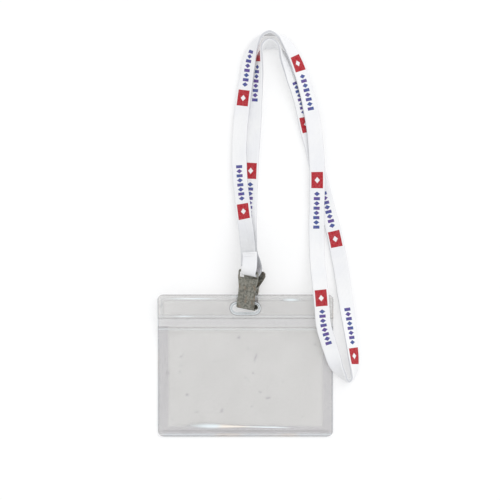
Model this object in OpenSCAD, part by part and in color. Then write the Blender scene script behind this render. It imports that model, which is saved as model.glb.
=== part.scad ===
// Landscape badge holder of clear vinyl on a printed neck lanyard, laid on a flat surface.
// The origin is on that surface, under the middle of the holder and its clip together. +Z is up.

/* [Badge holder] */
// Width of the holder
holder_w = 112; // [100:1:120]
// Height of the holder, measured along the vinyl
holder_h = 92; // [86:1:96]
// Thickness of one vinyl sheet
vinyl_t = 0.35; // [0.25:0.05:0.5]
// Radius of the holder's corners
corner_r = 4; // [2:0.5:8]
// Width of the welded border round the pocket
weld_w = 6.5; // [4:0.5:9]
// Free height inside the card pocket
pocket_gap = 0.8; // [0.5:0.1:1.2]
// Length of the slot in the header
slot_l = 16; // [15.5:0.5:17]
// Width of the slot in the header
slot_w = 5; // [4.5:0.5:5.5]
// Width of the raised ring round the slot
ring_w = 2.3; // [1:0.1:3]

/* [Clip] */
// Thickness of the clip's steel
steel_t = 0.8; // [0.6:0.1:0.9]
// Width of the jaws
jaw_w = 12; // [11:0.2:12]
// Width of the end that takes the strap
head_w = 13.4; // [13:0.2:14]
// Diameter of the pivot pin
pin_d = 1.4; // [1:0.1:1.6]
// Running clearance between the pin and its holes, on the radius
pin_play = 0.05; // [0.02:0.01:0.1]
// Number of teeth on each jaw
teeth = 7; // [5:1:9]

/* [Lanyard] */
// Width of the strap
strap_w = 10; // [9:0.5:10]
// Thickness of the strap
strap_t = 1.6; // [1.2:0.1:1.6]
// Stitches in each row of the seam
stitches = 7; // [5:1:9]

/* [Hidden] */
$fn = 48;

// The holder: flat from its foot to the bend, then rising to the clip, which props its header up.
// Along the vinyl, s is the distance and the flat part has s = y.
holder_foot = -52;
holder_top = holder_foot + holder_h;
bend_from = 1.5;
bend_r = 50;
bend_rise = 13;
bend_len = bend_r * bend_rise * PI / 180;
bend_steps = 8;
header_from = 24;
mouth_at = 19;
slot_s = 31;
rib_w = 0.9;
rib_h = 0.14;
ring_h = 0.2;

// The clip's own frame: x across it, y from its jaws to its head, z from lever to front plate.
// Its origin is on the pivot, and the vinyl runs through at z = 0.
clip_at = [2.5, 42.3, 8.2];
clip_yaw = -6.5;
clip_pitch = 12;
clip_roll = -20;
jaw_len = 12;
nose_r = 1.1;
jaw_gap = 0.15;
ear_t = 0.6;
waist_w = 11.4;
lever_waist_w = 9.6;
lever_head_w = 14.6;
strap_slot = [11.8, 3.4];
strap_slot_from = 8.3;
pin_r = pin_d / 2;
pin_head_r = 1.25;
pin_head_t = 0.45;
coil_r = 1.55;
wire_r = 0.28;
coil_turns = 7;
coil_w = 6.4;
coil_steps = 12;

// The strap's route from its end under the tab, up the left, over the top, down the right, round the
// foot of the loop and back: x, y, z and tilt. At tilt 0 the printed face is up. A positive tilt
// leans it to the left of the way the route runs.
route = [
    [1.8, 57.2, 15.2, 20], [1.8, 59.8, 15.2, 20], [1.8, 62.4, 15, 19], [1.8, 66, 14.1, 18],
    [1.5, 70, 12.6, 16], [0.9, 75.5, 10.4, 15], [0.3, 81, 8.2, 14], [-0.5, 87, 6.2, 14],
    [-2.1, 99.5, 3.9, 14], [-3.4, 112, 3.4, 14], [-4, 125, 2.9, 14], [-3.6, 142, 2.5, 14],
    [-1.4, 163.5, 2.6, 16], [0.4, 176, 2.9, 22], [2.4, 188, 3.7, 34], [4.7, 195.5, 4.4, 50],
    [7, 200.2, 4.9, 66], [10.6, 204.2, 5.1, 84], [15.4, 205.6, 5.1, 96], [20.5, 204, 5.1, 80],
    [25, 200.3, 4.7, 56], [28.8, 195, 4, 42], [32.6, 187.5, 3.4, 30], [36.8, 176, 3.1, 22],
    [40.2, 163.5, 2.9, 14], [42.9, 150.5, 2.8, 6], [45.1, 131, 2.8, 0], [45.8, 112, 2.8, -2],
    [45.6, 99.5, 2.7, -6], [45.3, 86.5, 2.4, -10], [45.4, 74, 3.2, -5], [45.7, 62, 5.2, -1],
    [46.7, 50, 8.2, 0], [47.8, 39.5, 9.6, 0], [48.6, 30, 7.9, 0], [49.6, 20, 5.8, 0], [52.4, 10, 4, -2],
    [55, 2, 3.4, -8], [57, -4, 4.2, -26], [59, -8.4, 4.9, -44], [61.6, -12, 5.2, -64],
    [63.6, -14.8, 5.1, -80], [66, -16.2, 5.1, -88], [68, -14.4, 5.1, -82], [68.8, -11, 4.9, -68],
    [69.2, -7, 4.6, -54], [69, -1.5, 4.1, -43], [68.1, 6.5, 3.7, -36], [66.9, 16, 3.1, -26],
    [63.5, 38.5, 1.6, -8], [61.3, 53.5, 0.9, 0], [56.6, 78, 0.9, 0], [51, 99.5, 0.9, 0],
    [46.3, 118.5, 0.9, 0], [41.9, 136.5, 0.9, 0], [39, 147.5, 1.2, -4], [36.6, 158, 1.8, -12],
    [33.5, 168.5, 2.7, -22], [30.2, 176.5, 3.6, -34], [27, 184, 4.4, -48], [24.3, 190.6, 4.9, -62],
    [21.9, 195.4, 5.1, -84], [19, 198.2, 5.1, -108], [15.2, 199, 4.6, -128], [11.8, 197.6, 5.1, -108],
    [9.9, 193.8, 5.1, -84], [8.9, 189, 5, -66], [8, 182.5, 4.5, -50], [7, 173, 3.7, -36],
    [5.2, 146, 2, -14], [3.8, 127, 1.3, -5], [2.6, 98, 1.3, -3], [2.4, 92.5, 2.3, -8],
    [2.5, 80.5, 6, -14], [2.6, 74, 8.6, -16], [2.8, 67, 11.7, -18], [3.9, 62.8, 12.2, -20],
    [5.2, 59, 12, -20]];
// The rest of the route, in the clip's frame, where the strap lies across the clip: from behind the
// crossbar, forward through the slot and up over the front as the tab.
wrap = [[2.2, 13.2, 0.5], [1.2, 11.3, 1.5], [0.6, 10.5, 3.2], [0.4, 10.6, 5], [0.4, 11.3, 6.3],
        [0.5, 12.8, 6.9], [0.8, 15.2, 6.9]];
tab = [[2.7, 59.6, 17.8], [2.8, 62.4, 17.6], [2.8, 66, 16.9]];
stitch_r = 0.2;
seam_rows = 2;

function unit(v) = v / norm(v);

// Turns a vector of the clip's frame into the holder's frame.
function roll_of(v) = [v[0] * cos(clip_roll) + v[2] * sin(clip_roll), v[1],
                       v[2] * cos(clip_roll) - v[0] * sin(clip_roll)];
function pitch_of(v) = [v[0], v[1] * cos(clip_pitch) - v[2] * sin(clip_pitch),
                        v[1] * sin(clip_pitch) + v[2] * cos(clip_pitch)];
function yaw_of(v) = [v[0] * cos(clip_yaw) - v[1] * sin(clip_yaw),
                      v[0] * sin(clip_yaw) + v[1] * cos(clip_yaw), v[2]];
function from_clip(v) = yaw_of(pitch_of(roll_of(v)));

module in_clip() {
    translate(clip_at) rotate([0, 0, clip_yaw]) rotate([clip_pitch, 0, 0]) rotate([0, clip_roll, 0])
        children();
}

// Extrudes an outline drawn in y and z by w along x.
module across(w) {
    rotate([90, 0, 90]) linear_extrude(w, center = true) children();
}

// The outline of a plate of thickness t that follows a line of points.
function side_of(line, i) =
    let (a = line[max(i - 1, 0)], b = line[i], c = line[min(i + 1, len(line) - 1)],
         u = i == 0 ? unit(c - b) : unit(b - a), v = i == len(line) - 1 ? u : unit(c - b),
         m = unit(u + v))
    [-m[1], m[0]] / (m * u);
function plate(line, t) = concat(
    [for (i = [0:len(line) - 1]) line[i] + side_of(line, i) * t / 2],
    [for (i = [len(line) - 1:-1:0]) line[i] - side_of(line, i) * t / 2]);

// A point on the vinyl's bend, at distance s along it and height h over its underside.
function bend_angle(s) = max(0, min(bend_rise, (s - bend_from) * 180 / (PI * bend_r)));
function on_bend(s, h) =
    let (a = bend_angle(s), past = s < bend_from ? s - bend_from : max(0, s - bend_from - bend_len))
    [bend_from + bend_r * sin(a) + past * cos(a) - h * sin(a),
     bend_r * (1 - cos(a)) + past * sin(a) + h * cos(a)];
function stations(s0, s1) = concat([s0],
    [for (i = [0:bend_steps]) let (s = bend_from + bend_len * i / bend_steps)
        if (s > s0 && s < s1) s], [s1]);

// A slab of vinyl from s0 to s1, h0 to h1 high and w wide.
module slab(s0, s1, h0, h1, w) {
    across(w) polygon(concat([for (s = stations(s0, s1)) on_bend(s, h0)],
        [for (i = [len(stations(s0, s1)) - 1:-1:0]) on_bend(stations(s0, s1)[i], h1)]));
}

// The holder's outline with round corners, as a tall block.
module outline(inset) {
    y0 = on_bend(holder_foot, 0)[0] + inset;
    y1 = on_bend(holder_top, 0)[0] - inset;
    x1 = holder_w / 2 - inset;
    r = max(corner_r - inset, 1);
    translate([0, 0, -1]) linear_extrude(20) {
        translate([-x1 + r, y0]) square([2 * (x1 - r), y1 - y0]);
        translate([-x1, y0 + r]) square([2 * x1, y1 - y0 - 2 * r]);
        for (x = [-x1 + r, x1 - r], y = [y0 + r, y1 - r]) translate([x, y]) circle(r);
    }
}

// A block with round ends, square to the vinyl at the slot.
module at_slot(grow, h0, h1) {
    r = slot_w / 2 + grow;
    far = slot_l / 2 - slot_w / 2;
    p = on_bend(slot_s, 0);
    translate([0, p[0], p[1]]) rotate([bend_rise, 0, 0]) translate([0, 0, h0])
        linear_extrude(h1 - h0) {
            for (x = [-far, far]) translate([x, 0]) circle(r);
            translate([-far, -r]) square([2 * far, 2 * r]);
        }
}

module back_sheet() {
    color([0.83, 0.83, 0.82, 0.6]) difference() {
        intersection() {
            slab(holder_foot, holder_top, 0, vinyl_t, holder_w + 2);
            outline(0);
        }
        at_slot(0, -2, 3);
    }
}

module header_strip() {
    top = 2 * vinyl_t;
    root = 1.5 * vinyl_t;
    color([0.86, 0.86, 0.86, 0.6]) difference() {
        union() {
            intersection() {
                slab(header_from, holder_top, vinyl_t, top, holder_w + 2);
                outline(0);
            }
            slab(header_from + rib_w, header_from + 2 * rib_w, root, top + rib_h, holder_w - 2);
            slab(holder_top - 3 - rib_w, holder_top - 3, root, top + rib_h, holder_w - 5);
            at_slot(ring_w, root, top + ring_h);
        }
        at_slot(0, -2, 3);
    }
}

module front_sheet() {
    top = vinyl_t + pocket_gap + vinyl_t;
    pocket_w = holder_w - 2 * weld_w;
    color([0.83, 0.83, 0.82, 0.6]) difference() {
        union() {
            intersection() {
                slab(holder_foot, mouth_at, vinyl_t, 2 * vinyl_t, holder_w + 2);
                outline(0);
            }
            slab(holder_foot + weld_w, mouth_at, vinyl_t, top, pocket_w);
        }
        slab(holder_foot + weld_w + vinyl_t, mouth_at + 1, vinyl_t - 0.01, vinyl_t + pocket_gap,
            pocket_w - 2 * vinyl_t);
    }
}

// Points of the jaw's nose, from its teeth round to the plate, on the side that z has.
function nose(side) = concat([[-jaw_len, side * (jaw_gap + steel_t / 8)]],
    [for (a = [0:22.5:90]) [-jaw_len + nose_r * (1 - cos(a)), side * (2.5 + nose_r * sin(a))]]);

// Notches between the teeth of a jaw, on the side that z has.
module notches(side) {
    pitch = jaw_w / teeth;
    for (i = [0:teeth]) translate([(i - teeth / 2) * pitch, -jaw_len, side * jaw_gap])
        rotate([90, 0, 0]) linear_extrude(3, center = true)
            polygon([[-pitch * 0.42, -side * 0.5], [pitch * 0.42, -side * 0.5],
                     [pitch * 0.28, side * 0.2], [0, side * 0.9], [-pitch * 0.28, side * 0.2]]);
}

// An ear from a plate at height z down to the pivot, with the hole for the pin.
module ear(x, z) {
    r = 1.9;
    difference() {
        union() {
            translate([x, 0, 0]) rotate([0, 90, 0]) cylinder(r = r, h = ear_t, center = true);
            translate([x, 0, 0]) across(ear_t)
                polygon([[-r, 0], [r, 0], [2.6, z], [-2.8, z]]);
        }
        translate([x, 0, 0]) rotate([0, 90, 0])
            cylinder(r = pin_r + pin_play, h = 3 * ear_t, center = true);
    }
}

module clip_base_plate() {
    line = concat(nose(1), [[0, 4.1], [14, 5.1]]);
    j = jaw_w / 2;
    m = waist_w / 2;
    h = head_w / 2;
    color([0.62, 0.61, 0.56]) in_clip() {
        difference() {
            intersection() {
                across(20) polygon(plate(line, steel_t));
                translate([0, 0, -1]) linear_extrude(10)
                    polygon([[-j, -14], [j, -14], [j, -9], [m, -4], [m, 2], [h, 7.5], [h, 12.2],
                             [h - 0.4, 13], [h - 1.2, 13.4], [1.2 - h, 13.4], [0.4 - h, 13],
                             [-h, 12.2], [-h, 7.5], [-m, 2], [-m, -4], [-j, -9]]);
            }
            notches(1);
            translate([-strap_slot[0] / 2, strap_slot_from, 0]) cube([strap_slot[0], strap_slot[1], 8]);
        }
        for (x = [-1, 1]) ear(x * (m - ear_t / 2), 3.9);
    }
}

module clip_lever() {
    line = concat(nose(-1), [[0, -4.1], [2, -4.4], [9.6, -7.4], [12, -7.9]]);
    j = jaw_w / 2;
    m = lever_waist_w / 2;
    h = lever_head_w / 2;
    color([0.55, 0.54, 0.5]) in_clip() {
        difference() {
            intersection() {
                across(20) polygon(plate(line, steel_t));
                translate([0, 0, -9]) linear_extrude(10)
                    polygon([[-j, -14], [j, -14], [j, -9.5], [m, -5], [m, 2], [h - 0.6, 6.4],
                             [h, 8.4], [h - 0.6, 10.4], [h - 1.8, 11.2], [1.8 - h, 11.2],
                             [0.6 - h, 10.4], [-h, 8.4], [0.6 - h, 6.4], [-m, 2], [-m, -5],
                             [-j, -9.5]]);
            }
            notches(-1);
        }
        for (x = [-1, 1]) ear(x * (m - ear_t / 2), -3.9);
    }
}

module pivot_pin() {
    half = waist_w / 2 + 0.05;
    color([0.7, 0.69, 0.66]) in_clip() rotate([0, 90, 0]) {
        cylinder(r = pin_r, h = 2 * half, center = true);
        translate([0, 0, half]) cylinder(r = pin_head_r, h = pin_head_t);
        translate([0, 0, -half - pin_head_t]) cylinder(r = pin_head_r, h = pin_head_t);
    }
}

// A tube along points, each with a width direction. ring holds the section: along the width, then
// along the face.
module sweep(points, widths, ring) {
    n = len(ring);
    last = len(points) - 1;
    function along(i) = unit(points[min(i + 1, last)] - points[max(i - 1, 0)]);
    function wide(i) = unit(widths[i] - along(i) * (widths[i] * along(i)));
    function face(i) = cross(along(i), wide(i));
    polyhedron(
        points = [for (i = [0:last]) for (q = ring) points[i] + wide(i) * q[0] + face(i) * q[1]],
        faces = concat([[for (k = [0:n - 1]) k]], [[for (k = [n - 1:-1:0]) last * n + k]],
            [for (i = [0:last - 1]) for (k = [0:n - 1])
                [i * n + k, (i + 1) * n + k, i * n + (k + 1) % n]],
            [for (i = [0:last - 1]) for (k = [0:n - 1])
                [i * n + (k + 1) % n, (i + 1) * n + k, (i + 1) * n + (k + 1) % n]]));
}

// The spring coils round the pin, and its two arms press on the plates.
module torsion_spring() {
    steps = coil_turns * coil_steps;
    coil = [for (i = [0:steps]) let (a = 130 + (360 * coil_turns - 260) * i / steps)
        [coil_w * (i / steps - 0.5), coil_r * cos(a), coil_r * sin(a)]];
    front_arm = [-coil_w / 2, 5, 3.6];
    lever_arm = [coil_w / 2, 6, -4.6];
    points = concat([front_arm, [-coil_w / 2, 0.6, 2.4]], coil, [[coil_w / 2, 0.6, -2.4], lever_arm]);
    color([0.6, 0.6, 0.6]) in_clip()
        sweep(points, [for (p = points) [1, 0, 0]],
            [for (a = [0:60:300]) wire_r * [cos(a), sin(a)]]);
}

strap_points = concat([for (p = route) [p[0], p[1], p[2]]],
    [for (p = wrap) clip_at + from_clip(p)], tab);
function strap_along(i) = unit(strap_points[min(i + 1, len(strap_points) - 1)]
    - strap_points[max(i - 1, 0)]);
function leaned(i) = let (t = strap_along(i), left = unit([-t[1], t[0], 0]))
    left * cos(route[i][3]) - [0, 0, sin(route[i][3])];
strap_widths = [for (i = [0:len(strap_points) - 1])
    i < len(route) ? leaned(i) : from_clip([1, 0, 0])];

module lanyard_strap() {
    w = strap_w / 2;
    t = strap_t / 2;
    ring = [[w, 0], [w - 0.35, 0.7 * t], [w - 1.3, t], [1.3 - w, t], [0.35 - w, 0.7 * t],
            [-w, 0], [0.35 - w, -0.7 * t], [1.3 - w, -t], [w - 1.3, -t], [w - 0.35, -0.7 * t]];
    color([0.95, 0.95, 0.95]) sweep(strap_points, strap_widths, ring);
}

// Short stitches in rows across the tab, where it is sewn to the strap under it.
module seam_stitching() {
    end = tab[2];
    back = unit(tab[1] - tab[2]);
    side = unit(from_clip([1, 0, 0]) - back * (from_clip([1, 0, 0]) * back));
    up = cross(side, -back);
    pitch = (strap_w - 2.4) / stitches;
    color([0.9, 0.9, 0.88])
        for (row = [0:seam_rows - 1], i = [0:stitches - 1]) {
            x = (i - (stitches - 1) / 2) * pitch;
            p = end + back * (1 + 1.6 * row) + side * x + up * (strap_t / 2 + stitch_r / 2);
            multmatrix([[back[0], up[0], side[0], p[0]], [back[1], up[1], side[1], p[1]],
                        [back[2], up[2], side[2], p[2]], [0, 0, 0, 1]])
                cylinder(r = stitch_r, h = 0.7 * pitch, center = true, $fn = 16);
        }
}

back_sheet();
header_strip();
front_sheet();
clip_base_plate();
clip_lever();
pivot_pin();
torsion_spring();
lanyard_strap();
seam_stitching();
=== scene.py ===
"""The looks of a clear badge holder on a printed neck lanyard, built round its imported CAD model."""

import math
import random

import bmesh
import bpy
import numpy as np
from mathutils import Matrix


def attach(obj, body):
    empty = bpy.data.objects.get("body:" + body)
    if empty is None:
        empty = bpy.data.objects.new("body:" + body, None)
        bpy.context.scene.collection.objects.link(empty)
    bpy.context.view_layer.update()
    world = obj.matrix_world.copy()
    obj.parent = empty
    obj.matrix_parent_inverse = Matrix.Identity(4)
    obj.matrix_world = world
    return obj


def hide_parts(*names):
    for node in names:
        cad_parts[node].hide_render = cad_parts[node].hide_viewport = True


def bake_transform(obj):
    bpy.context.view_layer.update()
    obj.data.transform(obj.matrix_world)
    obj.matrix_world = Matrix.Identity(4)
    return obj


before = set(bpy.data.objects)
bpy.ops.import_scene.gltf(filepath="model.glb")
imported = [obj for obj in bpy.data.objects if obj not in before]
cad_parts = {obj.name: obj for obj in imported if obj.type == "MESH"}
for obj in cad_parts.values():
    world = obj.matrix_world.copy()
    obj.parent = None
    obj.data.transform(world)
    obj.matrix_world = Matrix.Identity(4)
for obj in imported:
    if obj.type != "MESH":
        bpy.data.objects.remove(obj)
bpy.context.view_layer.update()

# Lengths are in millimetres, and times MM they are in metres.
MM = 0.001

# The camera looks straight down on the whole lanyard.
VIEW_CENTRE = (2.9, 67.4)
VIEW_SPAN = 320
CAMERA_HEIGHT = 1000
SENSOR = 36

# The floor is as low as a corner of the holder goes when the holder turns in the jaws.
FLOOR_Z = -0.8
FLOOR_HALF = 20000

# The light is a pale sky and a very broad sun. The sun's size and turns are in degrees.
SKY_COLOUR = (0.985, 0.99, 1, 1)
SKY_STRENGTH = 0.9
SUN_STRENGTH = 0.7
SUN_SIZE = 50
SUN_TURN_X = -28
SUN_TURN_Y = 26

# The clip's place: its pivot, and the turns that take its own frame into the part's.
CLIP_AT = np.array([2.5, 42.3, 8.2])
CLIP_YAW = -6.5
CLIP_PITCH = 12
CLIP_ROLL = -20

# The strap's route in millimetres, as in the CAD model: x, y, z and tilt in degrees. At tilt 0 the
# printed face is up, and a positive tilt leans it to the left of the way the route runs.
ROUTE = [
    [1.8, 57.2, 15.2, 20], [1.8, 59.8, 15.2, 20], [1.8, 62.4, 15, 19], [1.8, 66, 14.1, 18],
    [1.5, 70, 12.6, 16], [0.9, 75.5, 10.4, 15], [0.3, 81, 8.2, 14], [-0.5, 87, 6.2, 14],
    [-2.1, 99.5, 3.9, 14], [-3.4, 112, 3.4, 14], [-4, 125, 2.9, 14], [-3.6, 142, 2.5, 14],
    [-1.4, 163.5, 2.6, 16], [0.4, 176, 2.9, 22], [2.4, 188, 3.7, 34], [4.7, 195.5, 4.4, 50],
    [7, 200.2, 4.9, 66], [10.6, 204.2, 5.1, 84], [15.4, 205.6, 5.1, 96], [20.5, 204, 5.1, 80],
    [25, 200.3, 4.7, 56], [28.8, 195, 4, 42], [32.6, 187.5, 3.4, 30], [36.8, 176, 3.1, 22],
    [40.2, 163.5, 2.9, 14], [42.9, 150.5, 2.8, 6], [45.1, 131, 2.8, 0], [45.8, 112, 2.8, -2],
    [45.6, 99.5, 2.7, -6], [45.3, 86.5, 2.4, -10], [45.4, 74, 3.2, -5], [45.7, 62, 5.2, -1],
    [46.7, 50, 8.2, 0], [47.8, 39.5, 9.6, 0], [48.6, 30, 7.9, 0], [49.6, 20, 5.8, 0],
    [52.4, 10, 4, -2], [55, 2, 3.4, -8], [57, -4, 4.2, -26], [59, -8.4, 4.9, -44],
    [61.6, -12, 5.2, -64], [63.6, -14.8, 5.1, -80], [66, -16.2, 5.1, -88], [68, -14.4, 5.1, -82],
    [68.8, -11, 4.9, -68], [69.2, -7, 4.6, -54], [69, -1.5, 4.1, -43], [68.1, 6.5, 3.7, -36],
    [66.9, 16, 3.1, -26], [63.5, 38.5, 1.6, -8], [61.3, 53.5, 0.9, 0], [56.6, 78, 0.9, 0],
    [51, 99.5, 0.9, 0], [46.3, 118.5, 0.9, 0], [41.9, 136.5, 0.9, 0], [39, 147.5, 1.2, -4],
    [36.6, 158, 1.8, -12], [33.5, 168.5, 2.7, -22], [30.2, 176.5, 3.6, -34], [27, 184, 4.4, -48],
    [24.3, 190.6, 4.9, -62], [21.9, 195.4, 5.1, -84], [19, 198.2, 5.1, -108],
    [15.2, 199, 4.6, -128], [11.8, 197.6, 5.1, -108], [9.9, 193.8, 5.1, -84],
    [8.9, 189, 5, -66], [8, 182.5, 4.5, -50], [7, 173, 3.7, -36], [5.2, 146, 2, -14],
    [3.8, 127, 1.3, -5], [2.6, 98, 1.3, -3], [2.4, 92.5, 2.3, -8], [2.5, 80.5, 6, -14],
    [2.6, 74, 8.6, -16], [2.8, 67, 11.7, -18], [3.9, 62.8, 12.2, -20], [5.2, 59, 12, -20]]
# The rest of it: round the clip's crossbar, in the clip's own frame, and the tab that is sewn down.
WRAP = [[2.2, 13.2, 0.5], [1.2, 11.3, 1.5], [0.6, 10.5, 3.2], [0.4, 10.6, 5], [0.4, 11.3, 6.3],
        [0.5, 12.8, 6.9], [0.8, 15.2, 6.9]]
TAB = [[2.7, 59.6, 17.8], [2.8, 62.4, 17.6], [2.8, 66, 16.9]]
STRAP_W = 10
# The strap is thicker where it stands on its edge, because the tube opens a little there.
STRAP_T = 1.45
STRAP_T_ON_EDGE = 2.0
# How far apart the rings of its mesh are.
RING_GAP = 1.1
# The width of a wale of its knit, and the length of a course.
WALE = 0.8
COURSE = 0.75

# The print on the strap repeats along it. Each repeat has a red block and a row of blue shapes.
PRINT_PITCH = 75
PRINT_RED_AT = 35.5
PRINT_BLUR = 0.12
RED_HALF_L = 5.15
RED_HALF_W = 3.75
BLUE_AFTER_RED = 7.2
BLUE_CELL = 3
BLUE_SHAPES = 8
SQUARE_HALF_L = 1
SQUARE_HALF_W = 2
# How far the print has slipped from its even pitch, in millimetres, where the strap is stretched.
PRINT_SLIP_AT = [0, 37, 109, 185, 337, 488, 563, 631, 790]
PRINT_SLIP = [1.1, 1.1, -1.1, -0.9, 0.8, 2, 2.8, -4, -4.2]
# How much painted shade greys the strap where it comes to the clip, at each of its ends.
CLIP_SHADE_AT = [0, 14, 34, 60, 735, 758, 768, 774, 781, 785]
CLIP_SHADE = [0.35, 0.33, 0.08, 0, 0, 0.5, 1, 0.6, 0.12, 0]

# The holder, as in the CAD model: s is the distance along the vinyl, and h the height over it.
HOLDER_W = 112
HOLDER_FOOT = -52
HOLDER_TOP = 40
CORNER_R = 4
VINYL_T = 0.35
# Sheets that are welded together are still drawn this far apart, so that no two faces coincide.
SHEET_GAP = 0.03
WELD_W = 6.5
POCKET_GAP = 0.8
# It lies flat up to here, then bends upwards, and goes straight on to the clip at this slope.
BEND_FROM = 1.5
BEND_R = 50
BEND_RISE = math.radians(13)
HEADER_FROM = 24
MOUTH_AT = 19
SLOT_S = 31
SLOT_L = 16.2
SLOT_W = 5.2


def clip_turn():
    """The turn from the clip's own frame into the part's."""
    turn = (Matrix.Rotation(math.radians(CLIP_YAW), 3, "Z")
            @ Matrix.Rotation(math.radians(CLIP_PITCH), 3, "X")
            @ Matrix.Rotation(math.radians(CLIP_ROLL), 3, "Y"))
    return np.array(turn)


CLIP_TURN = clip_turn()


def unit(vectors):
    """The vectors, each at length 1."""
    return vectors / np.linalg.norm(vectors, axis=-1, keepdims=True)


def waves(at, seed, shortest, longest):
    """A smooth seeded curve between about -1 and 1, made of a few sine waves."""
    count = 6
    draw = random.Random(seed)
    total = np.zeros_like(at, dtype=float)
    for _ in range(count):
        length = draw.uniform(shortest, longest)
        total += np.sin(2 * math.pi * (at / length + draw.random()))
    return total / math.sqrt(2 * count) / 1.2


def rise(values, low, high):
    """0 up to low, 1 from high on, and smooth between them."""
    t = np.clip((values - low) / (high - low), 0, 1)
    return t * t * (3 - 2 * t)


def new_object(name, vertices, faces, attributes=None):
    """A mesh object from points in millimetres, with a number at each point for each attribute."""
    mesh = bpy.data.meshes.new(name)
    mesh.from_pydata((np.asarray(vertices) * MM).tolist(), [], faces)
    for key, values in (attributes or {}).items():
        layer = mesh.attributes.new(key, "FLOAT", "POINT")
        layer.data.foreach_set("value", np.asarray(values, np.float32))
    mesh.polygons.foreach_set("use_smooth", [True] * len(mesh.polygons))
    mesh.update()
    piece = bpy.data.objects.new(name, mesh)
    bpy.context.scene.collection.objects.link(piece)
    return piece


def tube_faces(rings, around):
    """The sides and the two ends of a tube of rings, each with the same number of points."""
    faces = []
    for i in range(rings - 1):
        for k in range(around):
            after = (k + 1) % around
            faces.append((i * around + k, i * around + after,
                          (i + 1) * around + after, (i + 1) * around + k))
    faces.append(tuple(range(around - 1, -1, -1)))
    faces.append(tuple((rings - 1) * around + k for k in range(around)))
    return faces


def use_modifiers(piece):
    """Applies the modifiers of a piece to its mesh."""
    graph = bpy.context.evaluated_depsgraph_get()
    mesh = bpy.data.meshes.new_from_object(piece.evaluated_get(graph))
    piece.modifiers.clear()
    piece.data = mesh


# Materials

def put(tree, value, socket):
    """Sets a socket to a number or a colour, or links another node's output to it."""
    if isinstance(value, bpy.types.NodeSocket):
        tree.links.new(value, socket)
    else:
        socket.default_value = value


def calc(tree, operation, *values):
    """The output of a math node."""
    node = tree.nodes.new("ShaderNodeMath")
    node.operation = operation
    for value, socket in zip(values, node.inputs):
        put(tree, value, socket)
    return node.outputs[0]


def step_up(tree, value, low, high):
    """0 below low and 1 above high, smooth between them. Where low is above high, it falls."""
    node = tree.nodes.new("ShaderNodeMapRange")
    node.interpolation_type = "SMOOTHSTEP"
    put(tree, value, node.inputs["Value"])
    node.inputs["From Min"].default_value = low
    node.inputs["From Max"].default_value = high
    return node.outputs["Result"]


def within(tree, value, half):
    """1 where the value lies between -half and half, with the blurred edges that the print has."""
    return step_up(tree, calc(tree, "ABSOLUTE", value), half + PRINT_BLUR, half - PRINT_BLUR)


def off_middle(tree, along, across, weight):
    """How far a point is from the middle, where equal distances make a diamond. The diamond's
    length is weight times its width."""
    return calc(tree, "ADD", calc(tree, "ABSOLUTE", along),
                calc(tree, "MULTIPLY", calc(tree, "ABSOLUTE", across), weight))


def attribute(tree, name):
    """A number that the mesh holds at each point."""
    node = tree.nodes.new("ShaderNodeAttribute")
    node.attribute_name = name
    return node.outputs["Fac"]


def mix(tree, share, first, second):
    """The first colour where share is 0 and the second where it is 1."""
    node = tree.nodes.new("ShaderNodeMix")
    node.data_type = "RGBA"
    put(tree, share, node.inputs["Factor"])
    put(tree, first, node.inputs["A"])
    put(tree, second, node.inputs["B"])
    return node.outputs["Result"]


def noise(tree, scale, detail, roughness=0.5, stretch=(1, 1, 1)):
    """Noise in the part's own space. scale is in features a metre."""
    where = tree.nodes.new("ShaderNodeTexCoord")
    mapping = tree.nodes.new("ShaderNodeMapping")
    mapping.inputs["Scale"].default_value = stretch
    node = tree.nodes.new("ShaderNodeTexNoise")
    node.inputs["Scale"].default_value = scale
    node.inputs["Detail"].default_value = detail
    node.inputs["Roughness"].default_value = roughness
    tree.links.new(where.outputs["Object"], mapping.inputs["Vector"])
    tree.links.new(mapping.outputs["Vector"], node.inputs["Vector"])
    return node.outputs["Fac"]


def bump(tree, height, distance, strength, under=None):
    """A bumped normal. under is the normal of a finer bump that it lies on."""
    node = tree.nodes.new("ShaderNodeBump")
    node.inputs["Strength"].default_value = strength
    node.inputs["Distance"].default_value = distance
    put(tree, height, node.inputs["Height"])
    if under is not None:
        tree.links.new(under, node.inputs["Normal"])
    return node.outputs["Normal"]


def shader(name, **settings):
    """A new material with a Principled shader, whose sockets are set by name."""
    material = bpy.data.materials.new(name)
    material.use_nodes = True
    tree = material.node_tree
    principled = next(n for n in tree.nodes if n.type == "BSDF_PRINCIPLED")
    for key, value in settings.items():
        principled.inputs[key.replace("_", " ")].default_value = value
    return material, tree, principled


WHITE_YARN = (0.895, 0.897, 0.9, 1)
COOL_YARN = (0.85, 0.855, 0.875, 1)
# The next three greys are painted shade: in the knit's grooves, along the strap's folded edges and
# near the clip.
KNIT_GROOVE_SHADE = (0.5, 0.51, 0.55, 1)
EDGE_SHADE_GREY = (0.4, 0.41, 0.45, 1)
CLIP_SHADE_GREY = (0.33, 0.34, 0.36, 1)
RED_INK = (0.43, 0.012, 0.022, 1)
BLUE_INK = (0.055, 0.09, 0.29, 1)
VIOLET_INK = (0.11, 0.06, 0.27, 1)


def knit_height(tree, run, across):
    """The height of a fine knit: lengthwise wales, with a V of yarn at each course."""
    wale = calc(tree, "MULTIPLY", across, 1 / WALE)
    in_wale = calc(tree, "ABSOLUTE", calc(tree, "SUBTRACT", calc(tree, "FRACT", wale), 0.5))
    course = calc(tree, "ADD", calc(tree, "MULTIPLY", run, 1 / COURSE), in_wale)
    yarn = calc(tree, "SINE", calc(tree, "MULTIPLY", course, 2 * math.pi))
    groove = calc(tree, "MULTIPLY", in_wale, 2)
    return calc(tree, "ADD", calc(tree, "MULTIPLY", yarn, 0.25),
                calc(tree, "SUBTRACT", 1, calc(tree, "POWER", groove, 3)))


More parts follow.
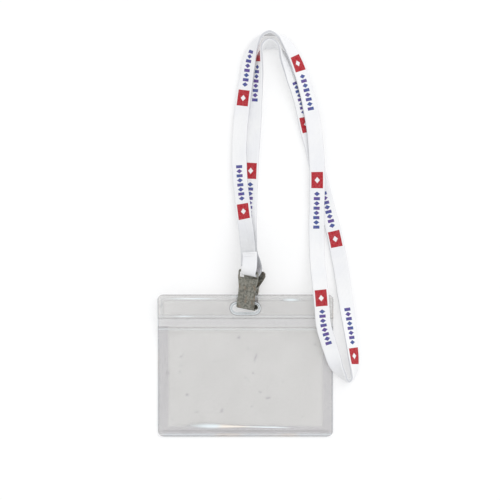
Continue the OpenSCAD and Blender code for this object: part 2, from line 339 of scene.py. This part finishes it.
def print_masks(tree, across):
    """Where the red ink and the blue ink are: 1 on the ink and 0 off it."""
    place = calc(tree, "FLOORED_MODULO", attribute(tree, "print"), PRINT_PITCH)
    off_red = calc(tree, "SUBTRACT", place, PRINT_RED_AT)
    block = calc(tree, "MULTIPLY", within(tree, off_red, RED_HALF_L),
                 within(tree, across, RED_HALF_W))
    # A plain diamond is left white in the red block.
    weight, all_white, all_red = 1.2, 1.6, 2.3
    off_white = off_middle(tree, off_red, across, weight)
    red = calc(tree, "MULTIPLY", block, step_up(tree, off_white, all_white, all_red))
    # Squares and diamonds alternate along the blue row.
    along = calc(tree, "SUBTRACT", off_red, BLUE_AFTER_RED)
    cell = calc(tree, "MULTIPLY", along, 1 / BLUE_CELL)
    in_cell = calc(tree, "MULTIPLY", calc(tree, "SUBTRACT", calc(tree, "FRACT", cell), 0.5),
                   BLUE_CELL)
    weight, no_blue, all_blue = 0.75, 1.6, 1.35
    diamond = step_up(tree, off_middle(tree, in_cell, across, weight), no_blue, all_blue)
    square = calc(tree, "MULTIPLY", within(tree, in_cell, SQUARE_HALF_L),
                  within(tree, across, SQUARE_HALF_W))
    odd = calc(tree, "GREATER_THAN",
               calc(tree, "FLOORED_MODULO", calc(tree, "FLOOR", cell), 2), 0.5)
    shape = calc(tree, "ADD", calc(tree, "MULTIPLY", diamond, calc(tree, "SUBTRACT", 1, odd)),
                 calc(tree, "MULTIPLY", square, odd))
    row = calc(tree, "MULTIPLY", calc(tree, "GREATER_THAN", along, 0),
               calc(tree, "LESS_THAN", along, BLUE_SHAPES * BLUE_CELL))
    return red, calc(tree, "MULTIPLY", shape, row)


def strap_material():
    """White knit, printed on one face, with painted shade in its knit's grooves, along its folded
    edges and near the clip.
    """
    material, tree, principled = shader("printed_knit", Roughness=0.85, Sheen_Weight=0.05,
                                        Sheen_Roughness=0.5, Specular_IOR_Level=0.25)
    across = attribute(tree, "across")
    side = attribute(tree, "side")
    height = knit_height(tree, attribute(tree, "run"), across)
    yarn = mix(tree, step_up(tree, noise(tree, 60, 2), 0.35, 0.75), WHITE_YARN, COOL_YARN)
    # Painted shade darkens the grooves of the knit.
    gap = step_up(tree, height, 0.5, 0.05)
    yarn = mix(tree, calc(tree, "MULTIPLY", gap, 0.15), yarn, KNIT_GROOVE_SHADE)
    # Painted shade greys the strap along its rounded, folded edges.
    on_edge = step_up(tree, calc(tree, "ABSOLUTE", side), 0.85, 0.35)
    yarn = mix(tree, calc(tree, "MULTIPLY", on_edge, 0.5), yarn, EDGE_SHADE_GREY)
    # Painted shade greys the strap near the clip, a little unevenly.
    clip_shade = calc(tree, "MULTIPLY", attribute(tree, "clip_shade"),
                calc(tree, "MULTIPLY_ADD", noise(tree, 400, 3), 0.6, 0.7))
    yarn = mix(tree, clip_shade, yarn, CLIP_SHADE_GREY)
    red, blue = print_masks(tree, across)
    wear = calc(tree, "MULTIPLY_ADD", noise(tree, 900, 2), 0.2, 0.87)
    cover = calc(tree, "MULTIPLY", step_up(tree, side, 0.1, 0.5), wear)
    blue_ink = mix(tree, step_up(tree, noise(tree, 260, 2), 0.4, 0.65), BLUE_INK, VIOLET_INK)
    colour = mix(tree, calc(tree, "MULTIPLY", blue, cover), yarn, blue_ink)
    colour = mix(tree, calc(tree, "MULTIPLY", red, cover), colour, RED_INK)
    tree.links.new(colour, principled.inputs["Base Color"])
    fine = bump(tree, noise(tree, 5000, 2), 0.03 * MM, 0.5)
    tree.links.new(bump(tree, height, 0.09 * MM, 0.6, fine), principled.inputs["Normal"])
    return material


def thread_material():
    """White thread, with fibres that run along each stitch."""
    material, tree, principled = shader("sewing_thread", Roughness=0.6, Sheen_Weight=0.3,
                                        Specular_IOR_Level=0.35)
    fibres = noise(tree, 6000, 3, 0.6, (0.3, 1, 1))
    colour = mix(tree, fibres, (0.74, 0.74, 0.77, 1), (0.9, 0.9, 0.9, 1))
    tree.links.new(colour, principled.inputs["Base Color"])
    tree.links.new(bump(tree, fibres, 0.05 * MM, 0.7), principled.inputs["Normal"])
    return material


CLEAR_ALPHA = 0.17


def vinyl_material():
    """Clear soft vinyl, a little grey. It is duller in its welds. Painted shade darkens the grooves
    beside them, and painted highlights lighten its edges, ribs and embossed lines."""
    material, tree, principled = shader("clear_vinyl", IOR=1.52, Coat_Weight=0.5,
                                        Coat_Roughness=0.05)
    smudge = step_up(tree, noise(tree, 55, 4, 0.55), 0.3, 0.8)
    spots = step_up(tree, noise(tree, 230, 1), 0.69, 0.77)
    sheet = mix(tree, smudge, (0.58, 0.565, 0.545, 1), (0.66, 0.645, 0.625, 1))
    sheet = mix(tree, spots, sheet, (0.4, 0.4, 0.4, 1))
    band = mix(tree, smudge, (0.56, 0.545, 0.555, 1), (0.62, 0.605, 0.61, 1))
    # The lines are painted highlights, warm in places and cool in others.
    line = mix(tree, step_up(tree, noise(tree, 30, 1), 0.34, 0.46), (1, 0.93, 0.84, 1),
               (0.9, 0.97, 1, 1))
    colour = mix(tree, attribute(tree, "band"), sheet, band)
    # Painted shade darkens the grooves.
    colour = mix(tree, attribute(tree, "groove"), colour, (0.13, 0.13, 0.14, 1))
    colour = mix(tree, attribute(tree, "line"), colour, line)
    tree.links.new(colour, principled.inputs["Base Color"])
    solid = calc(tree, "MULTIPLY_ADD", attribute(tree, "band"), 0.06, CLEAR_ALPHA)
    solid = calc(tree, "MULTIPLY_ADD", spots, 0.03, solid)
    solid = calc(tree, "MULTIPLY_ADD", attribute(tree, "groove"), 0.25, solid)
    solid = calc(tree, "MULTIPLY_ADD", attribute(tree, "line"), 0.7, solid)
    tree.links.new(solid, principled.inputs["Alpha"])
    roughness = calc(tree, "MULTIPLY_ADD", smudge, 0.12, 0.1)
    tree.links.new(roughness, principled.inputs["Roughness"])
    ripple = noise(tree, 45, 2, 0.4)
    tree.links.new(bump(tree, ripple, 0.8 * MM, 0.35), principled.inputs["Normal"])
    return material


def worn_nickel(name, shade):
    """Nickel plate that has dulled in olive and brown patches, with fine scratches. shade is how
    light it is: below 1 it is a darker copy with painted shade."""
    def tone(red, green, blue):
        return (red * shade, green * shade, blue * shade, 1)

    material, tree, principled = shader(name, Metallic=1.0)
    patch = step_up(tree, noise(tree, 640, 4, 0.65), 0.38, 0.62)
    brown = step_up(tree, noise(tree, 400, 4, 0.6, (1, 0.6, 1)), 0.5, 0.68)
    pits = step_up(tree, noise(tree, 1500, 4, 0.7), 0.6, 0.72)
    colour = mix(tree, patch, tone(0.15, 0.15, 0.13), tone(0.31, 0.305, 0.265))
    colour = mix(tree, calc(tree, "MULTIPLY", brown, 0.55), colour, tone(0.3, 0.225, 0.16))
    colour = mix(tree, calc(tree, "MULTIPLY", pits, 0.6), colour, tone(0.08, 0.075, 0.065))
    tree.links.new(colour, principled.inputs["Base Color"])
    scratches = noise(tree, 900, 3, 0.6, (1, 0.08, 1))
    roughness = calc(tree, "MULTIPLY_ADD", scratches, 0.25, 0.22)
    tree.links.new(roughness, principled.inputs["Roughness"])
    fine = bump(tree, scratches, 0.02 * MM, 0.5)
    tree.links.new(bump(tree, noise(tree, 450, 5, 0.6), 0.15 * MM, 0.55, fine),
                   principled.inputs["Normal"])
    return material


def bright_wire():
    """Bright spring wire, finely mottled."""
    material, tree, principled = shader("spring_wire", Metallic=1.0)
    streaks = noise(tree, 2500, 3, 0.6)
    colour = mix(tree, streaks, (0.28, 0.27, 0.25, 1), (0.62, 0.61, 0.58, 1))
    tree.links.new(colour, principled.inputs["Base Color"])
    tree.links.new(calc(tree, "MULTIPLY_ADD", streaks, 0.2, 0.2), principled.inputs["Roughness"])
    tree.links.new(bump(tree, streaks, 0.02 * MM, 0.4), principled.inputs["Normal"])
    return material


def floor_material():
    """A white table that glows a little, as a light table does, so that its shadows stay faint."""
    material, tree, principled = shader("pale_floor", Roughness=0.9, Specular_IOR_Level=0.1,
                                        Emission_Color=(1, 1, 1, 1), Emission_Strength=0.36)
    colour = mix(tree, noise(tree, 3, 2), (0.61, 0.61, 0.61, 1), (0.64, 0.64, 0.64, 1))
    tree.links.new(colour, principled.inputs["Base Color"])
    return material


def finish(piece, material, body=None):
    """Gives a piece its one material, and has it ride on a body if one is named."""
    piece.data.materials.clear()
    piece.data.materials.append(material)
    if body:
        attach(piece, body)


# The camera

camera_data = bpy.data.cameras.new("camera")
camera_data.sensor_width = SENSOR
camera_data.lens = SENSOR * CAMERA_HEIGHT / VIEW_SPAN
camera = bpy.data.objects.new("camera", camera_data)
camera.location = (VIEW_CENTRE[0] * MM, VIEW_CENTRE[1] * MM, CAMERA_HEIGHT * MM)
bpy.context.scene.collection.objects.link(camera)
bpy.context.scene.camera = camera


# The lanyard

def strap_rows():
    """The strap's own points and its width's directions, one row of six numbers for each point."""
    route = np.array(ROUTE, float)
    wrap = CLIP_AT + np.array(WRAP) @ CLIP_TURN.T
    points = np.vstack([route[:, :3], wrap, TAB])
    ahead = np.vstack([points[1:], points[-1:]])
    behind = np.vstack([points[:1], points[:-1]])
    along = unit(ahead - behind)
    left = unit(np.column_stack([-along[:, 1], along[:, 0], np.zeros(len(points))]))
    widths = np.tile(CLIP_TURN[:, 0], (len(points), 1))
    tilt = np.radians(route[:, 3])[:, None]
    count = len(route)
    widths[:count] = left[:count] * np.cos(tilt) - np.array([0, 0, 1]) * np.sin(tilt)
    return np.hstack([points, widths])


def smooth_curve(rows, step):
    """A smooth curve through rows of numbers, read at even distances along its first three."""
    gaps = np.linalg.norm(np.diff(rows[:, :3], axis=0), axis=1)[:, None]
    slopes = np.diff(rows, axis=0) / gaps
    middle = (slopes[:-1] * gaps[1:] + slopes[1:] * gaps[:-1]) / (gaps[:-1] + gaps[1:])
    tangents = np.vstack([slopes[:1], middle, slopes[-1:]])
    steps = 24
    u = np.linspace(0, 1, steps, endpoint=False)[:, None]
    pieces = []
    for i, gap in enumerate(gaps[:, 0]):
        through = (2 * u**3 - 3 * u**2 + 1) * rows[i] + (3 * u**2 - 2 * u**3) * rows[i + 1]
        turning = (u**3 - 2 * u**2 + u) * tangents[i] + (u**3 - u**2) * tangents[i + 1]
        pieces.append(through + gap * turning)
    dense = np.vstack(pieces + [rows[-1:]])
    run = np.append(0, np.cumsum(np.linalg.norm(np.diff(dense[:, :3], axis=0), axis=1)))
    even = np.linspace(0, run[-1], int(run[-1] / step) + 1)
    return np.column_stack([np.interp(even, run, column) for column in dense.T]), even


def strap_frames():
    """Points along the strap, the directions along it, across it and out of its printed face, and
    the distance along it."""
    rows, run = smooth_curve(strap_rows(), RING_GAP)
    points = rows[:, :3]
    along = unit(np.gradient(points, axis=0))
    wide = rows[:, 3:]
    wide = unit(wide - along * np.sum(along * wide, axis=1, keepdims=True))
    return points, along, wide, np.cross(along, wide), run


def flat_tube_section(on_face, on_edge):
    """A flattened tube's section: each point's place on the flat, and on the rounded edge."""
    flat = np.linspace(1, -1, on_face)
    turn = np.linspace(math.pi / 2, 3 * math.pi / 2, on_edge + 2)[1:-1]
    place = np.concatenate([flat, np.full(on_edge, -1.0), flat[::-1], np.full(on_edge, 1.0)])
    cosine = np.concatenate([np.zeros(on_face), np.cos(turn), np.zeros(on_face), -np.cos(turn)])
    sine = np.concatenate([np.ones(on_face), np.sin(turn), -np.ones(on_face), -np.sin(turn)])
    return place, cosine, sine


def make_strap():
    """The strap as a flattened tube, and the points that it follows."""
    points, along, wide, out, run = strap_frames()
    place, cosine, sine = flat_tube_section(on_face=17, on_edge=7)
    upright = np.abs(wide[:, 2])
    half_t = (STRAP_T + (STRAP_T_ON_EDGE - STRAP_T) * rise(upright, 0.4, 1)) / 2
    inset, width_change = 0.12, 0.1
    half_w = STRAP_W / 2 - inset + width_change * waves(run, 11, 9, 40)
    across = place * (half_w - half_t)[:, None] + cosine * half_t[:, None]
    # The tube is fuller along its two edges than down its middle.
    hollow = 0.22
    fullness = 1 - hollow * (1 - place**2)
    up = sine * half_t[:, None] * fullness
    # A crease wanders along it, and comes and goes.
    wander, crease_half_w, deepest = 0.45, 0.09, 0.16
    crease_at = wander * waves(run, 5, 60, 150)[:, None]
    depth = deepest * rise(waves(run, 6, 30, 90), -0.1, 0.6)[:, None]
    up -= sine * depth * np.exp(-((place - crease_at) / crease_half_w)**2)
    # It puckers where it bends, and its faces and one of its edges are a little uneven everywhere.
    bent = np.linalg.norm(np.gradient(along, run, axis=0), axis=1)
    crumple = rise(bent, 0.02, 0.12)
    pucker, flutter, ragged = 0.22, 0.12, 0.09
    up += pucker * (crumple * waves(run, 7, 3.5, 8))[:, None] * (1 - 0.5 * place**2)
    up += flutter * waves(run, 8, 14, 45)[:, None] * place
    across += ragged * waves(run, 9, 10, 30)[:, None] * (place > 0.9)
    rings = points[:, None] + wide[:, None] * across[..., None] + out[:, None] * up[..., None]
    # None of it goes below the table.
    lowest = 0.04
    rings[..., 2] = np.maximum(rings[..., 2], lowest)
    slip = np.interp(run, PRINT_SLIP_AT, PRINT_SLIP)
    count = len(place)
    piece = new_object("strap", rings.reshape(-1, 3), tube_faces(len(points), count), {
        "run": np.repeat(run, count),
        "print": np.repeat(run - slip, count),
        "across": across.ravel(),
        "clip_shade": np.repeat(np.interp(run, CLIP_SHADE_AT, CLIP_SHADE), count),
        "side": np.tile(sine, len(points))})
    return piece, points


def make_stitches():
    """Two rows of short stitches across the tab, each a thread that bows out of the knit."""
    tab = np.array(TAB)
    end = tab[2]
    back = unit(tab[1] - tab[2])
    side = CLIP_TURN[:, 0]
    side = unit(side - back * (side @ back))
    up = np.cross(side, -back)
    draw = random.Random(3)
    row_count, row_gap, first_row_at = 2, 1.6, 1
    count, margin, radius = 7, 1.2, 0.2
    pitch = (STRAP_W - 2 * margin) / count
    reach = 0.4
    lift, bow = 0.72, 0.24
    uneven, slant = 0.08, 0.12
    steps, around = 9, 8
    vertices, faces = [], []
    for row in range(row_count):
        for i in range(count):
            x = (i - (count - 1) / 2) * pitch
            from_end = first_row_at + row_gap * row + draw.uniform(-uneven, uneven)
            middle = end + back * from_end + side * x
            lean = draw.uniform(-slant, slant)
            first = len(vertices)
            for u in np.linspace(-1, 1, steps):
                high = lift + bow * (1 - u * u)
                centre = middle + side * (u * reach * pitch) + back * (u * lean) + up * high
                # Each stitch thins to half its width where it goes into the knit.
                thick = radius * math.sqrt(1 - 0.75 * u * u)
                for k in range(around):
                    a = 2 * math.pi * k / around
                    vertices.append(centre + thick * (back * math.cos(a) + up * math.sin(a)))
            faces += [tuple(first + k for k in face) for face in tube_faces(steps, around)]
    return new_object("stitches", vertices, faces)


strap, strap_path = make_strap()
finish(strap, strap_material())
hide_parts("lanyard_strap")
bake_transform(strap)

stitches = make_stitches()
finish(stitches, thread_material(), "lanyard")
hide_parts("seam_stitching")


# The holder

def on_bend(x, s, h):
    """Where a point of the vinyl is: flat, then up the bend, then straight on at its slope."""
    turn = np.clip((s - BEND_FROM) / BEND_R, 0, BEND_RISE)
    past = np.where(s < BEND_FROM, s - BEND_FROM,
                    np.maximum(0, s - BEND_FROM - BEND_R * BEND_RISE))
    y = BEND_FROM + BEND_R * np.sin(turn) + past * np.cos(turn) - h * np.sin(turn)
    z = BEND_R * (1 - np.cos(turn)) + past * np.sin(turn) + h * np.cos(turn)
    return np.stack([x, y, z], axis=-1)


def to_slot(x, s):
    """How far a point of the vinyl is outside the slot."""
    return np.hypot(np.maximum(np.abs(x) - (SLOT_L - SLOT_W) / 2, 0), s - SLOT_S) - SLOT_W / 2


def half_width(s, from_s, to_s, round_foot, round_top):
    """Half the sheet's width at s, where its corners are round."""
    short = np.zeros_like(s)
    if round_foot:
        short = np.maximum(short, from_s + CORNER_R - s)
    if round_top:
        short = np.maximum(short, s - to_s + CORNER_R)
    short = np.clip(short, 0, CORNER_R)
    return HOLDER_W / 2 - CORNER_R + np.sqrt(CORNER_R**2 - short**2)


def ridge(distance, at, half):
    """1 along a line at that distance, falling smoothly to 0 at half its width."""
    return rise(half - np.abs(distance - at), 0, half)


def strongest(*layers):
    """The highest of several layers of numbers, point by point."""
    return np.maximum.reduce(layers)


def places(stops, steps):
    """Places along a line from stop to stop, each stretch with its own step."""
    runs = [np.linspace(a, b, round((b - a) / step) + 1)[:-1]
            for a, b, step in zip(stops, stops[1:], steps)]
    return np.concatenate(runs + [stops[-1:]])


def vinyl_sheet(name, stops, steps, heights, round_foot=False, round_top=False, slot=False):
    """A sheet of vinyl, with its rows of points from stop to stop. heights gives its underside and
    its top, and how far each point is in a weld, in a painted highlight and in a groove's painted
    shade."""
    from_s, to_s = stops[0], stops[-1]
    # Its columns are closest near its edges and by the slot. They are places in half widths.
    near_edge, near_slot, elsewhere = 0.009, 0.0054, 0.025
    middle = near_slot if slot else elsewhere
    columns = places([-1, -0.8, -0.21, 0.21, 0.8, 1],
                     [near_edge, elsewhere, middle, elsewhere, near_edge])
    rows = places(stops, steps)
    s = np.tile(rows[:, None], (1, len(columns)))
    x = columns[None, :] * half_width(s, from_s, to_s, round_foot, round_top)
    bottom, top, band, line, groove = heights(x, s)
    shape = s.shape
    under, over = on_bend(x, s, bottom), on_bend(x, s, top)
    index = np.arange(s.size).reshape(shape)
    faces = []
    for i in range(shape[0] - 1):
        for k in range(shape[1] - 1):
            quad = [index[i, k], index[i + 1, k], index[i + 1, k + 1], index[i, k + 1]]
            faces.append([int(q) for q in quad])
            faces.append([int(q) + s.size for q in reversed(quad)])
    edge = np.concatenate([index[0, :-1], index[:-1, -1], index[-1, :0:-1], index[:0:-1, 0]])
    for a, b in zip(edge, np.roll(edge, -1)):
        faces.append([int(a), int(b), int(b) + s.size, int(a) + s.size])
    marks = {"band": band, "line": line, "groove": groove}
    both = {key: np.tile(np.clip(values, 0, 1).ravel(), 2) for key, values in marks.items()}
    piece = new_object(name, np.vstack([under.reshape(-1, 3), over.reshape(-1, 3)]), faces, both)
    if slot:
        cut_slot(piece)
    return piece


def cut_slot(piece):
    """Cuts the slot through a sheet, with round ends and walls square to the vinyl."""
    far, radius, corners = (SLOT_L - SLOT_W) / 2, SLOT_W / 2, 20
    outline = []
    for end in (1, -1):
        for k in range(corners + 1):
            a = math.pi * k / corners - math.pi / 2
            outline.append((end * (far + radius * math.cos(a)), end * radius * math.sin(a)))
    x, d = np.array(outline).T
    s = SLOT_S + d
    below, above = -3.0, 5.0
    rings = np.vstack([on_bend(x, s, np.full(len(x), h)) for h in (below, above)])
    cutter = new_object("slot_cutter", rings, tube_faces(2, len(x)))
    cut = piece.modifiers.new("slot", "BOOLEAN")
    cut.operation = "DIFFERENCE"
    cut.solver = "EXACT"
    cut.object = cutter
    use_modifiers(piece)
    bpy.data.objects.remove(cutter)


def billow(x, s):
    """The vinyl never lies quite flat: how far it lifts, most in the middle of the pocket."""
    sides = rise(HOLDER_W / 2 - np.abs(x), 2, 16)
    free = sides * rise(s - HOLDER_FOOT, 2, 16) * rise(MOUTH_AT + 1 - s, 0, 14)
    lift = 0.35
    return lift * free * (1 + waves(x + 0.4 * s, 21, 35, 90) * waves(s - 0.3 * x, 22, 30, 80))


def stretch_of(x, start, end):
    """1 between two places across the sheet, fading out towards them."""
    middle, half = (start + end) / 2, (end - start) / 2
    return rise(half - np.abs(x - middle), 0, half)


def foot_groove_shade(foot, side):
    """The painted shade of the shallow groove across the holder in its foot's weld, which fades out
    at the corners.
    """
    return 0.22 * ridge(foot, 3.6, 1.2) * rise(side, 1, 5)


def back_heights(x, s):
    """The back sheet's heights and marks, as vinyl_sheet takes them."""
    lift = billow(x, s)
    side = HOLDER_W / 2 - np.abs(x)
    foot = s - HOLDER_FOOT
    edge = np.minimum(side, foot)
    border = rise(WELD_W + 0.6 - edge, 0, 1.2) * rise(MOUTH_AT + 1 - s, 0, 1)
    header = 1 - 0.65 * rise(s, HEADER_FROM - 0.6, HEADER_FROM + 0.6) - (s < MOUTH_AT)
    # Painted highlights lie on the cut edge, the rim of the slot and a line in the foot's weld.
    line = strongest(0.8 * ridge(edge, 0, 0.9), ridge(to_slot(x, s), 0.2, 0.5),
                     0.5 * ridge(foot, 1.4, 1.2))
    # Painted shade darkens grooves under the header's lower edge, beside the cut edge and along a
    # wandering line a little over the mouth. The strip between the header and the mouth is darker all
    # over.
    groove = strongest(foot_groove_shade(foot, side), 0.25 * ridge(s, HEADER_FROM, 0.7),
                       0.12 * rise(s, MOUTH_AT, MOUTH_AT + 1) * (s < HEADER_FROM),
                       0.3 * ridge(edge, 0.5, 0.6),
                       0.2 * ridge(s, 21.2 + 0.3 * waves(x, 41, 40, 90), 0.7))
    return lift, lift + VINYL_T, np.maximum(border, header), line, groove


def header_heights(x, s):
    """The header strip's heights and marks, as vinyl_sheet takes them."""
    below_top = HOLDER_TOP - s
    inside = np.minimum(HOLDER_W / 2 - np.abs(x), below_top)
    foot = s - HEADER_FROM
    away = to_slot(x, s)
    # Two raised rings lie round the slot, and raised ribs along the edges.
    rings = ridge(away, 0.25, 0.45) + ridge(away, 1.2, 0.55)
    ribs = ridge(inside, 3.2, 0.6) + ridge(foot, 1.4, 0.8)
    emboss = 0.18
    bottom = np.full_like(s, VINYL_T + SHEET_GAP)
    top = bottom + VINYL_T + emboss * np.minimum(1, rings + ribs)
    # Painted shade makes dark lines beside the ribs and the rings and along the cut edges at the top
    # and the foot, and none lies on the slot's rim.
    groove = strongest(0.3 * ridge(inside, 3.9, 0.8), 0.4 * ridge(foot, 0.3, 0.8),
                       0.5 * ridge(below_top, 0.5, 0.7), 0.2 * ridge(foot, 2.6, 0.7),
                       ridge(away, 0.7, 0.4), ridge(away, 1.8, 0.5)) * rise(away, 0.3, 0.5)
    # Painted highlights lie on the ribs and the top edge in stretches, and on the rings all the way
    # round.
    light = strongest(ridge(inside, 2.6, 1) * (0.25 + 0.75 * stretch_of(x, -56, -12)),
                      ridge(below_top, 3.4, 1.6) * stretch_of(x, 20, 38),
                      ridge(foot, 1.7, 0.9) * (0.4 + 0.5 * stretch_of(x, -48, -30)),
                      np.minimum(1, rings),
                      0.8 * stretch_of(x, -17, 17) * ridge(below_top, 1.3, 1.4))
    weld = 0.1
    return bottom, top, np.full_like(s, weld), light, groove


def front_heights(x, s):
    """The front sheet's heights and marks, as vinyl_sheet takes them."""
    lift = billow(x, s)
    side = HOLDER_W / 2 - np.abs(x)
    foot = s - HOLDER_FOOT
    below_mouth = MOUTH_AT - s
    inside = np.minimum(side, foot) - WELD_W
    raised = rise(inside, 0, 2.4) * POCKET_GAP * (0.75 + 0.25 * waves(x, 31, 40, 90))
    bottom = VINYL_T + SHEET_GAP + lift + raised
    emboss = 0.14 * (ridge(np.minimum(side, foot), 1.2, 0.7) + ridge(inside, -0.8, 0.8))
    band = rise(-inside, -1.6, 0.6)
    # Painted shade darkens two grooves along the mouth, and the lower one wanders.
    groove = strongest(foot_groove_shade(foot, side), 0.5 * ridge(below_mouth, 0.4, 0.9),
                       0.12 * ridge(below_mouth, 4 + 0.4 * waves(x, 42, 30, 70), 0.8))
    # A long painted highlight lies where the pocket rises from the foot's weld, wider in its left
    # half, and fainter painted highlights lie along the foot and the mouth.
    highlight = ridge(foot, 6.4 - 0.02 * x, 0.9 + 1.8 * stretch_of(x, -46, 0))
    light = strongest(highlight * rise(1 - np.abs(x + 3) / 40, 0, 0.5),
                      0.5 * ridge(foot, 1.4, 1.2), 0.5 * ridge(below_mouth, 1.7, 0.8))
    return bottom, bottom + VINYL_T + emboss, band, light, groove


vinyl = vinyl_material()
# The rows of points are closer together at the foot and in the header than in the pocket.
sheets = [
    vinyl_sheet("back_vinyl", [HOLDER_FOOT, -41, 18, HOLDER_TOP], [0.5, 1.4, 0.3], back_heights,
                round_foot=True, round_top=True, slot=True),
    vinyl_sheet("header_vinyl", [HEADER_FROM, HOLDER_TOP], [0.3], header_heights,
                round_top=True, slot=True),
    vinyl_sheet("front_vinyl", [HOLDER_FOOT, -41, 9, MOUTH_AT], [0.5, 1.4, 0.5], front_heights,
                round_foot=True)]
for sheet, node in zip(sheets, ("back_sheet", "header_strip", "front_sheet")):
    finish(sheet, vinyl, "holder")
    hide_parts(node)


# The clip

SAME_POINT = 0.002
SAME_FACE_ANGLE = 2
BEVEL_ANGLE = 35
SHARP_ANGLE = 40


def plate_from(node, name, edge):
    """A copy of a CAD piece, with its edges rounded as a press leaves them."""
    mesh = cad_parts[node].data.copy()
    shape = bmesh.new()
    shape.from_mesh(mesh)
    bmesh.ops.remove_doubles(shape, verts=shape.verts, dist=SAME_POINT * MM)
    bmesh.ops.dissolve_limit(shape, angle_limit=math.radians(SAME_FACE_ANGLE),
                             verts=shape.verts, edges=shape.edges)
    shape.to_mesh(mesh)
    shape.free()
    mesh.name = name
    piece = bpy.data.objects.new(name, mesh)
    bpy.context.scene.collection.objects.link(piece)
    bevel = piece.modifiers.new("edges", "BEVEL")
    bevel.width = edge * MM
    bevel.segments = 3
    bevel.limit_method = "ANGLE"
    bevel.angle_limit = math.radians(BEVEL_ANGLE)
    bevel.harden_normals = False
    use_modifiers(piece)
    piece.data.polygons.foreach_set("use_smooth", [True] * len(piece.data.polygons))
    piece.data.set_sharp_from_angle(angle=math.radians(SHARP_ANGLE))
    return piece


def make_spring():
    """The coil round the pin and its two arms, as one smooth wire in the clip's own frame."""
    coil_r, wire_r, turns, coil_w = 1.55, 0.28, 7, 6.4
    steps, around = turns * 40, 12
    # The coil starts where the upper arm meets it, and ends at the lower arm, this much short of
    # its whole turns.
    first_angle, short_of = 130, 260
    a = np.radians(first_angle + (360 * turns - short_of) * np.arange(steps + 1) / steps)
    coil = np.column_stack([coil_w * (np.arange(steps + 1) / steps - 0.5),
                            coil_r * np.cos(a), coil_r * np.sin(a)])
    half = coil_w / 2
    upper_arm = [[-half, 5, 3.6], [-half, 0.6, 2.4]]
    lower_arm = [[half, 0.6, -2.4], [half, 6, -4.6]]
    points = np.vstack([upper_arm, coil, lower_arm])
    along = unit(np.gradient(points, axis=0))
    wide = unit(np.array([1.0, 0, 0]) - along * along[:, :1])
    out = np.cross(along, wide)
    turn = 2 * math.pi * np.arange(around) / around
    rings = (points[:, None] + wire_r * (np.cos(turn)[None, :, None] * wide[:, None]
                                         + np.sin(turn)[None, :, None] * out[:, None]))
    placed = CLIP_AT + rings.reshape(-1, 3) @ CLIP_TURN.T
    return new_object("spring", placed, tube_faces(len(points), around))


nickel = worn_nickel("worn_nickel", 1)
# The lever's nickel is the same nickel, darker with painted shade.
shaded_nickel = worn_nickel("shaded_nickel", 0.8)
for node, name, edge, material, body in (
        ("clip_base_plate", "clip_front_plate", 0.16, nickel, "clip"),
        ("clip_lever", "clip_back_lever", 0.16, shaded_nickel, "lever"),
        ("pivot_pin", "clip_pin", 0.14, nickel, "clip")):
    plate = plate_from(node, name, edge)
    finish(plate, material, body)
    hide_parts(node)
spring = make_spring()
finish(spring, bright_wire())
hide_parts("torsion_spring")
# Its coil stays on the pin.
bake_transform(spring)


# The floor and the light

floor_corners = [(x * FLOOR_HALF, y * FLOOR_HALF, FLOOR_Z)
                 for x, y in ((-1, -1), (1, -1), (1, 1), (-1, 1))]
floor = new_object("floor", floor_corners, [(0, 1, 2, 3)])
floor.data.materials.append(floor_material())

world = bpy.data.worlds.new("studio")
world.use_nodes = True
background = world.node_tree.nodes["Background"]
background.inputs["Color"].default_value = SKY_COLOUR
background.inputs["Strength"].default_value = SKY_STRENGTH
bpy.context.scene.world = world

lamp_data = bpy.data.lights.new("soft_key", "SUN")
lamp_data.energy = SUN_STRENGTH
lamp_data.angle = math.radians(SUN_SIZE)
lamp = bpy.data.objects.new("soft_key", lamp_data)
lamp.rotation_euler = (math.radians(SUN_TURN_X), math.radians(SUN_TURN_Y), 0)
bpy.context.scene.collection.objects.link(lamp)

bpy.context.scene.view_settings.view_transform = "Standard"
